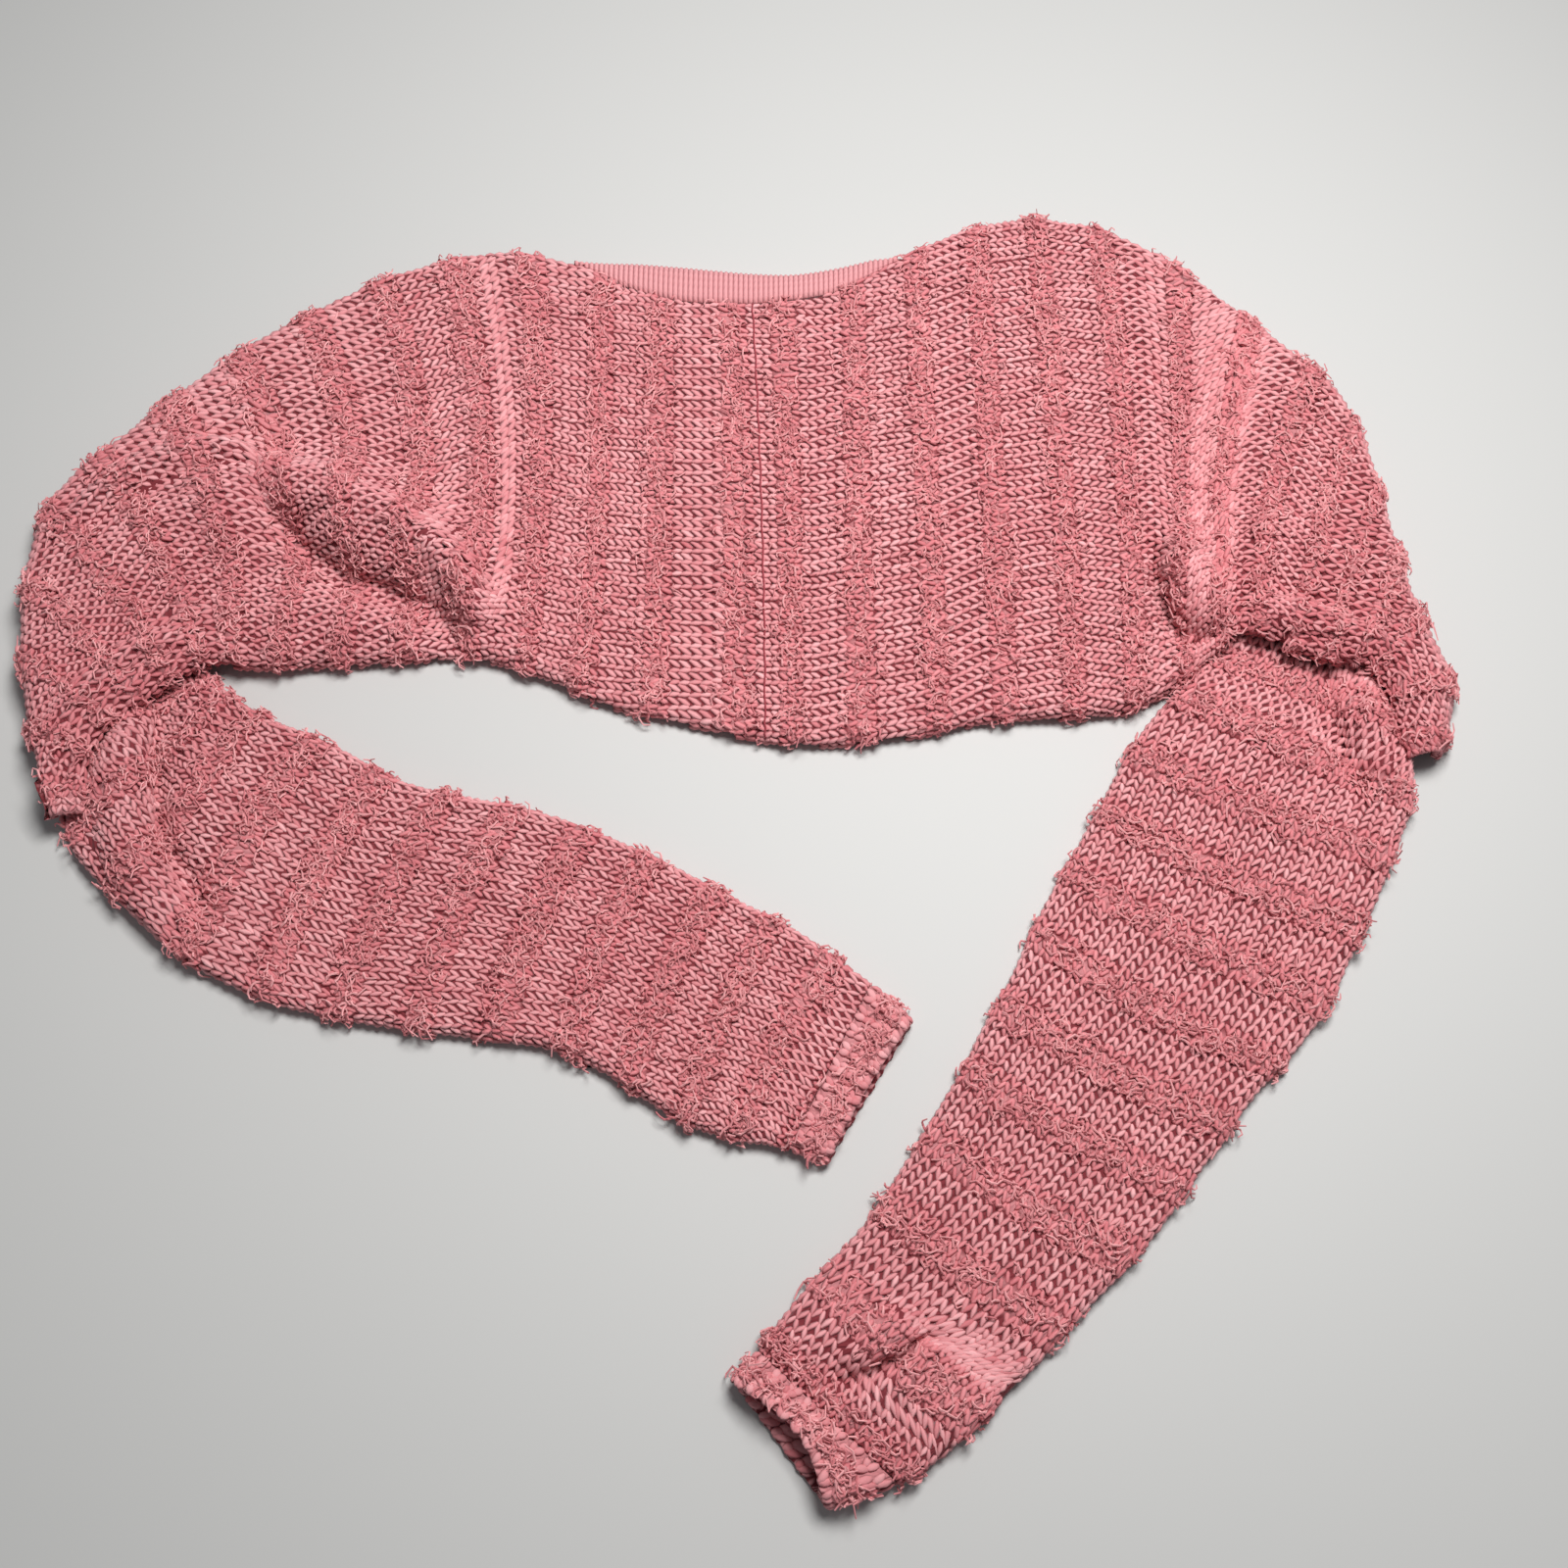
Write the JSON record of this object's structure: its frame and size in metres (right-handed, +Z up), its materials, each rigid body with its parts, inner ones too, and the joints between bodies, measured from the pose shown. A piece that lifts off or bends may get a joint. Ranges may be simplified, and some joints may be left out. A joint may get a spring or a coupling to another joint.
{
  "type": "knitted shrug",
  "caption": "Knitted shrug laid flat with its back up: two sideways-knitted halves with fuzzy stripes, long sleeves folded under at the elbow, ribbed cuffs and a fine ribbed neck band.",
  "frame": {"origin": "middle of the underside's bounding box, on the surface the shrug lies on", "axes": "+X along the longest extent, from the left elbow to the right elbow; +Y from the cuffs towards the neck band; +Z up"},
  "size_m": [0.6496, 0.5932, 0.0324],
  "materials": {
    "knit": "pink knitted yarn with fuzzy cross stripes",
    "cuff_rib": "pink chunky rib",
    "band_rib": "paler pink fine rib"
  },
  "bodies": {
    "root": {"back_left": "knit", "back_right": "knit", "under_left": "knit", "under_right": "knit", "forearm_left": "knit", "forearm_right": "knit", "cuff_left": "cuff_rib", "cuff_right": "cuff_rib", "neck_band": "band_rib", "neck_band_under": "band_rib"}
  },
  "joints": []
}
